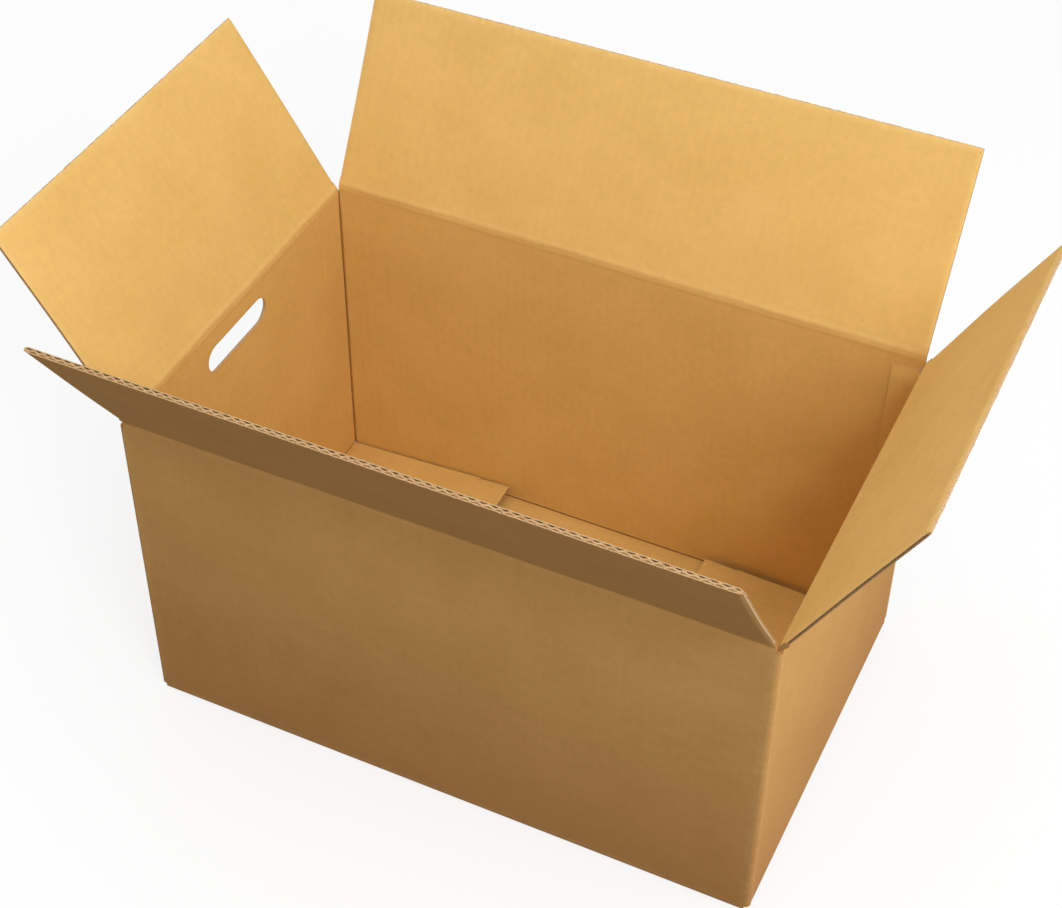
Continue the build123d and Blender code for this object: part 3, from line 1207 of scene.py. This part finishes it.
    def _corner(self, sheet: Sheet, first: Panel, second: Panel, first_half: float) -> None:
        """Add an upright fold from one wall to the next, with the groove its crease leaves inside.

        Args:
            sheet: Sheet that takes the fold.
            first: Wall before the fold.
            second: Wall after the fold; after the right wall, the back wall that the tab is glued to.
            first_half: How far along the first wall its outer corner lies.
        """
        radius = BOARD.fold_radius
        to_tab = first.side is Side.RIGHT
        heights = np.concatenate(([self.slot_foot], self.heights, [] if to_tab else [self.slot_top]))
        z, outer_x = grid(heights, first_half - radius + radius * np.sin(self.turns))
        along, across = self._groove()
        outer = first.place(outer_x, radius - radius * np.cos(self.turns), z)
        inner = first.place(first_half - BOARD.thickness - along, BOARD.thickness + across, z)
        u = np.broadcast_to(first.blank_u + first_half + radius * (self.turns - math.pi / 4), z.shape)
        upright = heights[:, None]
        if to_tab:
            inner[:, :1] = self._skins(first, first_half - radius, upright)[1]
        else:
            before = self._skins(first, first.flap_half, upright)
            after = self._skins(second, -second.flap_half, upright)
            outer = np.concatenate((before[0], outer, after[0]), axis=1)
            inner = np.concatenate((before[1], inner, after[1]), axis=1)
            u = np.concatenate((u[:, :1] - self.fold_step, u, u[:, -1:] + self.fold_step), axis=1)
        columns = u.shape[1]
        sheet.patch(
            outer, inner, (u, upright), (Skin.OUTSIDE, Skin.INSIDE, Skin.MEDIUM),
            # The fold's middle rows are tinted darker, partly as painted shade
            wear=self.fold_wear, crease=self._crushed(columns, columns // 2, self.corner_tint),
        )

    def _lap(self, sheet: Sheet) -> None:
        """Add the back wall's cut end, which laps over the glue tab's fold.

        Args:
            sheet: Sheet that takes the lap.
        """
        back = self.panels[Side.BACK]
        heights = np.concatenate(([self.slot_foot], self.heights, [self.slot_top]))
        z, x = grid(heights, np.array([-back.half + self.lap_end, -back.flap_half]))
        outer, inner = self._skins(back, x, z)
        sheet.patch(outer, inner, (back.blank_u + x, z), wear=self.fold_wear)

    def _tab(self, sheet: Sheet) -> None:
        """Add the glue tab, pressed thin against the back wall with its ends cut slanting.

        Args:
            sheet: Sheet that takes the tab.
        """
        back, right = self.panels[Side.BACK], self.panels[Side.RIGHT]
        heights = self.heights
        along = np.linspace(0.0, 1.0, self.tab_columns)
        low = heights[0] + self.tab_low_cut * along
        high = heights[-1] - self.tab_high_cut * along
        share = (heights - heights[0]) / (heights[-1] - heights[0])
        z = low + (high - low) * share[:, None]
        x = BOARD.fold_radius - back.half + self.tab_width * along
        # Settles from the full board at the fold to its pressed thickness
        spare = BOARD.thickness - self.tab_thickness
        thick = self.tab_thickness + spare * bell(along, self.tab_settle_share)
        to_cut = np.minimum(high - z, z - low)
        at_end = smooth((self.tab_flat_share - along) / self.tab_flat_run_share)
        thick = self.tab_edge + (thick - self.tab_edge) * smooth(to_cut / self.tab_press_run) * at_end
        outer = back.place(x, BOARD.thickness, z)
        inner_x = x + np.where(along == 0.0, BOARD.groove_mouth, 0.0)
        inner = back.place(inner_x, BOARD.thickness + thick, z)
        fold_u = right.blank_u + right.half - BOARD.thickness + BOARD.fold_radius * math.pi / 4
        wear = self.fold_wear * bell(1.0 - along, self.tab_wear_share)
        sheet.patch(outer, inner, (fold_u + self.tab_width * along, z), wear=wear)

    def _bottom_path(self, panel: Panel, foot: list[float], end: float) -> tuple[Array, ...]:
        """Work out a bottom flap's section, from the wall's foot round the fold and along the floor.

        Args:
            panel: The wall that the flap folds from.
            foot: Heights of the rows above the fold.
            end: How far in the solid board goes.

        Returns:
            Depths and heights of the outer face, then of the inner face, a value for each row.
        """
        radius, thick = BOARD.fold_radius, BOARD.thickness
        run = np.linspace(radius, end, self.bottom_rows)[1:]
        flat = np.full(len(run), panel.fold_z)
        up, across = self._groove()
        top_run = np.maximum(run, thick + BOARD.groove_mouth + self.groove_clearance)
        outer_n = np.concatenate((np.zeros(len(foot)), radius - radius * np.cos(self.turns), run))
        outer_z = np.concatenate((foot, panel.fold_z + radius - radius * np.sin(self.turns), flat))
        inner_n = np.concatenate((np.full(len(foot), thick), thick + across, top_run))
        inner_z = np.concatenate((foot, panel.fold_z + thick + up, flat + thick))
        return outer_n, outer_z, inner_n, inner_z

    def _bottom_flap(self, sheet: Sheet, panel: Panel) -> None:
        """Add a wall's foot, the bottom fold and the flap that lies shut on the floor.

        Args:
            sheet: Sheet that takes the flap.
            panel: The wall that it folds from.
        """
        lines = self._lines(panel)
        foot = [] if panel.side.is_end else [self.foot, self.slot_foot]
        solid_end = self.bottom_reach - (self.fluted_end if panel.side.is_end else 0.0)
        outer_n, outer_z, inner_n, inner_z = self._bottom_path(panel, foot, solid_end)
        rows = np.arange(len(outer_n))
        trimmed = smooth((outer_n - BOARD.fold_radius) / self.trim_run)[:, None]
        x = lines * (1.0 - trimmed * self.bottom_trim / panel.flap_half)
        top_x = x * (1.0 - BOARD.groove_mouth / panel.flap_half * (1.0 - trimmed))
        lift = self._lift(panel, outer_n)[:, None]
        bulge = self.crease_bulge * bell(panel.flap_half - np.abs(x), self.bulge_width)
        bulge = bulge * (rows <= len(foot))[:, None]
        outer = panel.place(x, outer_n[:, None], outer_z[:, None] + lift)
        inner = panel.place(top_x, inner_n[:, None] + bulge, inner_z[:, None] + lift)
        travelled = np.concatenate(([0.0], np.cumsum(np.hypot(np.diff(outer_n), np.diff(outer_z)))))
        wear = self.fold_wear * bell(outer_n - BOARD.fold_radius * self.bottom_wear_share, self.wear_width)
        # The fold's middle rows are tinted darker, partly as painted shade
        crease = self._crushed(len(rows), len(foot) + self.fold_rows // 2, self.bottom_tint)
        sheet.patch(
            outer, inner, (panel.blank_u + x, (self.foot - travelled)[:, None]),
            wear=wear[:, None], crease=crease[:, None],
        )
        if panel.side.is_end:
            ends = lines[[0, -1]] * (1.0 - self.bottom_trim / panel.flap_half)
            FlutedPly(
                (ends[1] - ends[0]) / 2, solid_end, self.bottom_reach,
                partial(self._place_end, panel, ends.mean()), partial(self._blank_end, panel, ends.mean()),
                seed=len(Side) + 1 + panel.side.number, columns_per_flute=self.fluted_columns,
            ).add_to(sheet)

    def _place_end(self, panel: Panel, middle: float, x: Array, n: Array, s: Array) -> Array:
        """Points of a bottom flap's open end in the box's frame."""
        return panel.place(middle + x, s, panel.fold_z + n + self._lift(panel, s))

    def _blank_end(self, panel: Panel, middle: float, x: Array, s: Array) -> tuple[Array, Array]:
        """Where points of a bottom flap's open end lie on the flat blank."""
        return panel.blank_u + middle + x, self.foot - s

    def _lift(self, panel: Panel, n: Array) -> Array:
        """Work out how far a bottom flap has sprung up from the one beneath it.

        Args:
            panel: The wall that the flap folds from.
            n: Depths from the wall's outer face.

        Returns:
            Heights above where the flap would lie flat.
        """
        spring = {Side.LEFT: self.left_flap_lift, Side.RIGHT: self.right_flap_lift}.get(panel.side, 0.0)
        along = np.clip((n - self.lift_start) / (self.bottom_reach - self.lift_start), 0.0, 1.0)
        return spring * along ** self.lift_curve

    def build(self, papers: list[bpy.types.Material]) -> bpy.types.Object:
        """Make the folded sheet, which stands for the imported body.

        Args:
            papers: Materials in the order of the Skin values.

        Returns:
            The sheet, riding on the box.
        """
        sheet = Sheet()
        order = list(self.panels.values())
        for panel in order:
            self._wall(sheet, panel)
            self._bottom_flap(sheet, panel)
        for first, second in zip(order, order[1:]):
            self._corner(sheet, first, second, first.half)
        right = self.panels[Side.RIGHT]
        self._corner(sheet, right, self.panels[Side.BACK], right.half - BOARD.thickness)
        self._lap(sheet)
        self._tab(sheet)
        made = sheet.build("box_sheet", papers)
        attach(made, "box")
        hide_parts("box_body")
        return made


@dataclass
class BottomTape:
    """Strip of packing tape under the bottom seam, with its ends torn on a toothed cutter."""

    tooth: float = 3.0
    tooth_depth: float = 2.0
    columns: int = 41

    def build(self) -> bpy.types.Object:
        """Make the tape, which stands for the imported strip.

        Returns:
            The tape, riding on the box.
        """
        low, high = packed_box("bottom_tape")
        count = int(round((high[1] - low[1]) / self.tooth)) * 2 + 1
        y, x = grid(np.linspace(low[1], high[1], count), np.linspace(low[0], high[0], self.columns))
        bite = self.tooth_depth * (np.arange(count) % 2)[:, None]
        x = np.where(np.abs(x) >= high[0] - TOUCH, x - np.sign(x) * bite, x)
        sheet = Sheet()
        sheet.patch(stacked(x, y, low[2]), stacked(x, y, high[2]), (x, y))
        film = PackingTape().material()
        made = sheet.build("tape_strip", [film] * len(Skin))
        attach(made, "box")
        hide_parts("bottom_tape")
        return made


@dataclass(frozen=True)
class Softbox:
    """Square studio lamp with an even white front.

    Its share is the light that it gives a surface facing it at the box, where 1 shows a
    colour as it is written.
    """

    name: str
    place: tuple[float, float, float]
    size: float
    share: float


@dataclass
class Studio:
    """Pale floor, soft studio lights and the camera at the photograph's viewing angle."""

    camera_place: tuple[float, float, float] = (579.0, -1243.1, 1551.5)
    azimuth: float = 25.013
    elevation: float = 43.138
    roll: float = 0.496
    lens: float = 71.691
    floor_size: float = 12000.0
    floor_drop: float = 0.2
    floor_colour: str = "#FFFFFF"
    bounce_colour: str = "#52463D"
    shadow_share: float = 0.22
    sky_colour: str = "#FFFFFF"
    sky_strength: float = 0.62
    white_strength: float = 1.0
    softboxes: tuple[Softbox, ...] = (
        Softbox("overhead_softbox", (0.0, 0.0, 2800.0), 1500.0, 0.17),
        Softbox("key_softbox", (1500.0, -1500.0, 2200.0), 900.0, 0.39),
        Softbox("side_softbox", (2700.0, 0.0, 500.0), 900.0, 0.36),
        Softbox("fill_softbox", (-2700.0, 0.0, 1100.0), 900.0, 0.10),
    )
    aim: tuple[float, float, float] = (0.0, 0.0, 250.0)

    def build(self) -> None:
        """Make the floor, sky, lamps and camera."""
        self._floor()
        self._sky()
        for softbox in self.softboxes:
            self._lamp(softbox)
        self._camera()
        bpy.context.scene.view_settings.view_transform = "Standard"

    def _floor(self) -> None:
        """Make the floor: pale to the camera with the box's shadow, and a dull bounce of light."""
        half = self.floor_size * MM / 2
        corners = [(-half, -half, 0.0), (half, -half, 0.0), (half, half, 0.0), (-half, half, 0.0)]
        mesh = bpy.data.meshes.new("studio_floor")
        mesh.from_pydata(corners, [], [(0, 1, 2, 3)])
        floor = bpy.data.objects.new("studio_floor", mesh)
        floor.location.z = -self.floor_drop * MM
        bpy.context.scene.collection.objects.link(floor)
        paper = bpy.data.materials.new("studio_floor_paper")
        paper.use_nodes = True
        tree = paper.node_tree
        tree.nodes.clear()
        pale, dull = (
            add_node(tree, "ShaderNodeBsdfDiffuse", {"Color": linear_rgba(colour)}).outputs[0]
            for colour in (self.floor_colour, self.bounce_colour)
        )
        white = add_node(tree, "ShaderNodeEmission", {"Strength": self.white_strength}).outputs[0]
        shown = add_node(tree, "ShaderNodeMixShader", {0: self.shadow_share, 1: white, 2: pale}).outputs[0]
        both = add_node(tree, "ShaderNodeMixShader", {0: self._seen(tree), 1: dull, 2: shown}).outputs[0]
        add_node(tree, "ShaderNodeOutputMaterial", {"Surface": both})
        mesh.materials.append(paper)

    @staticmethod
    def _seen(tree: bpy.types.NodeTree) -> bpy.types.NodeSocket:
        """Tell the rays that show the background from those that only light the box.

        Args:
            tree: Node tree of the floor or the sky.

        Returns:
            Socket that is 1 where a ray comes from the camera or through gloss or glass.
        """
        path = add_node(tree, "ShaderNodeLightPath").outputs
        seen = path["Is Camera Ray"]
        for ray in ("Is Glossy Ray", "Is Transmission Ray"):
            seen = add_node(tree, "ShaderNodeMath", {0: seen, 1: path[ray]}, operation="MAXIMUM").outputs[0]
        return seen

    def _sky(self) -> None:
        """Make the even light all round, which the camera sees as plain white."""
        world = bpy.data.worlds.new("studio_sky")
        bpy.context.scene.world = world
        world.use_nodes = True
        tree = world.node_tree
        tree.nodes.clear()
        plain = linear_rgba(self.sky_colour)
        even, white = (
            add_node(tree, "ShaderNodeBackground", {"Color": plain, "Strength": strength}).outputs[0]
            for strength in (self.sky_strength, self.white_strength)
        )
        both = add_node(tree, "ShaderNodeMixShader", {0: self._seen(tree), 1: even, 2: white}).outputs[0]
        add_node(tree, "ShaderNodeOutputWorld", {"Surface": both})

    def _lamp(self, softbox: Softbox) -> None:
        """Make a softbox aimed at the box.

        Args:
            softbox: Its place, size and share of the light.
        """
        light = bpy.data.lights.new(softbox.name, "AREA")
        light.size = softbox.size * MM
        lamp = bpy.data.objects.new(softbox.name, light)
        lamp.location = Vector(softbox.place) * MM
        towards = (Vector(self.aim) - Vector(softbox.place)) * MM
        lamp.rotation_mode = "QUATERNION"
        lamp.rotation_quaternion = towards.to_track_quat("-Z", "Y")
        # A lamp's light straight ahead is its watts divided by pi and by the distance squared,
        # and a surface shows its colour as written when that light is pi
        light.energy = softbox.share * math.pi ** 2 * towards.length_squared
        bpy.context.scene.collection.objects.link(lamp)

    def _camera(self) -> None:
        """Make the camera and set it as the scene's."""
        data = bpy.data.cameras.new("camera")
        data.lens = self.lens
        camera = bpy.data.objects.new("camera", data)
        turn = Matrix.Rotation(math.radians(self.azimuth), 4, "Z")
        tilt = Matrix.Rotation(math.radians(90.0 - self.elevation), 4, "X")
        roll = Matrix.Rotation(math.radians(self.roll), 4, "Z")
        camera.matrix_world = Matrix.Translation(Vector(self.camera_place) * MM) @ turn @ tilt @ roll
        bpy.context.scene.collection.objects.link(camera)
        bpy.context.scene.camera = camera


def main() -> None:
    """Build the box sheet, flaps, scores, tape and studio, and note the sizes."""
    logging.basicConfig(level=logging.INFO, format="%(name)s: %(message)s")
    papers = make_papers()
    panels = {side: Panel.from_frame(side) for side in Side}
    # The front flap's cut edge stayed open, and the end flaps have warped inwards
    flaps = (
        TopFlap(panels[Side.FRONT], edge_crush=0.1),
        TopFlap(panels[Side.BACK]),
        TopFlap(panels[Side.LEFT], belly=-1.0),
        TopFlap(panels[Side.RIGHT], belly=-1.0, closed_sides=(1,)),
    )
    pieces = [BoxSheet(panels).build(papers), BottomTape().build()]
    for flap in flaps:
        pieces += [flap.build_board(papers), flap.build_score(papers)]
    for piece in pieces:
        LOG.info("%s: %d faces", piece.name, len(piece.data.polygons))
    Studio().build()


if __name__ == "__main__":
    main()
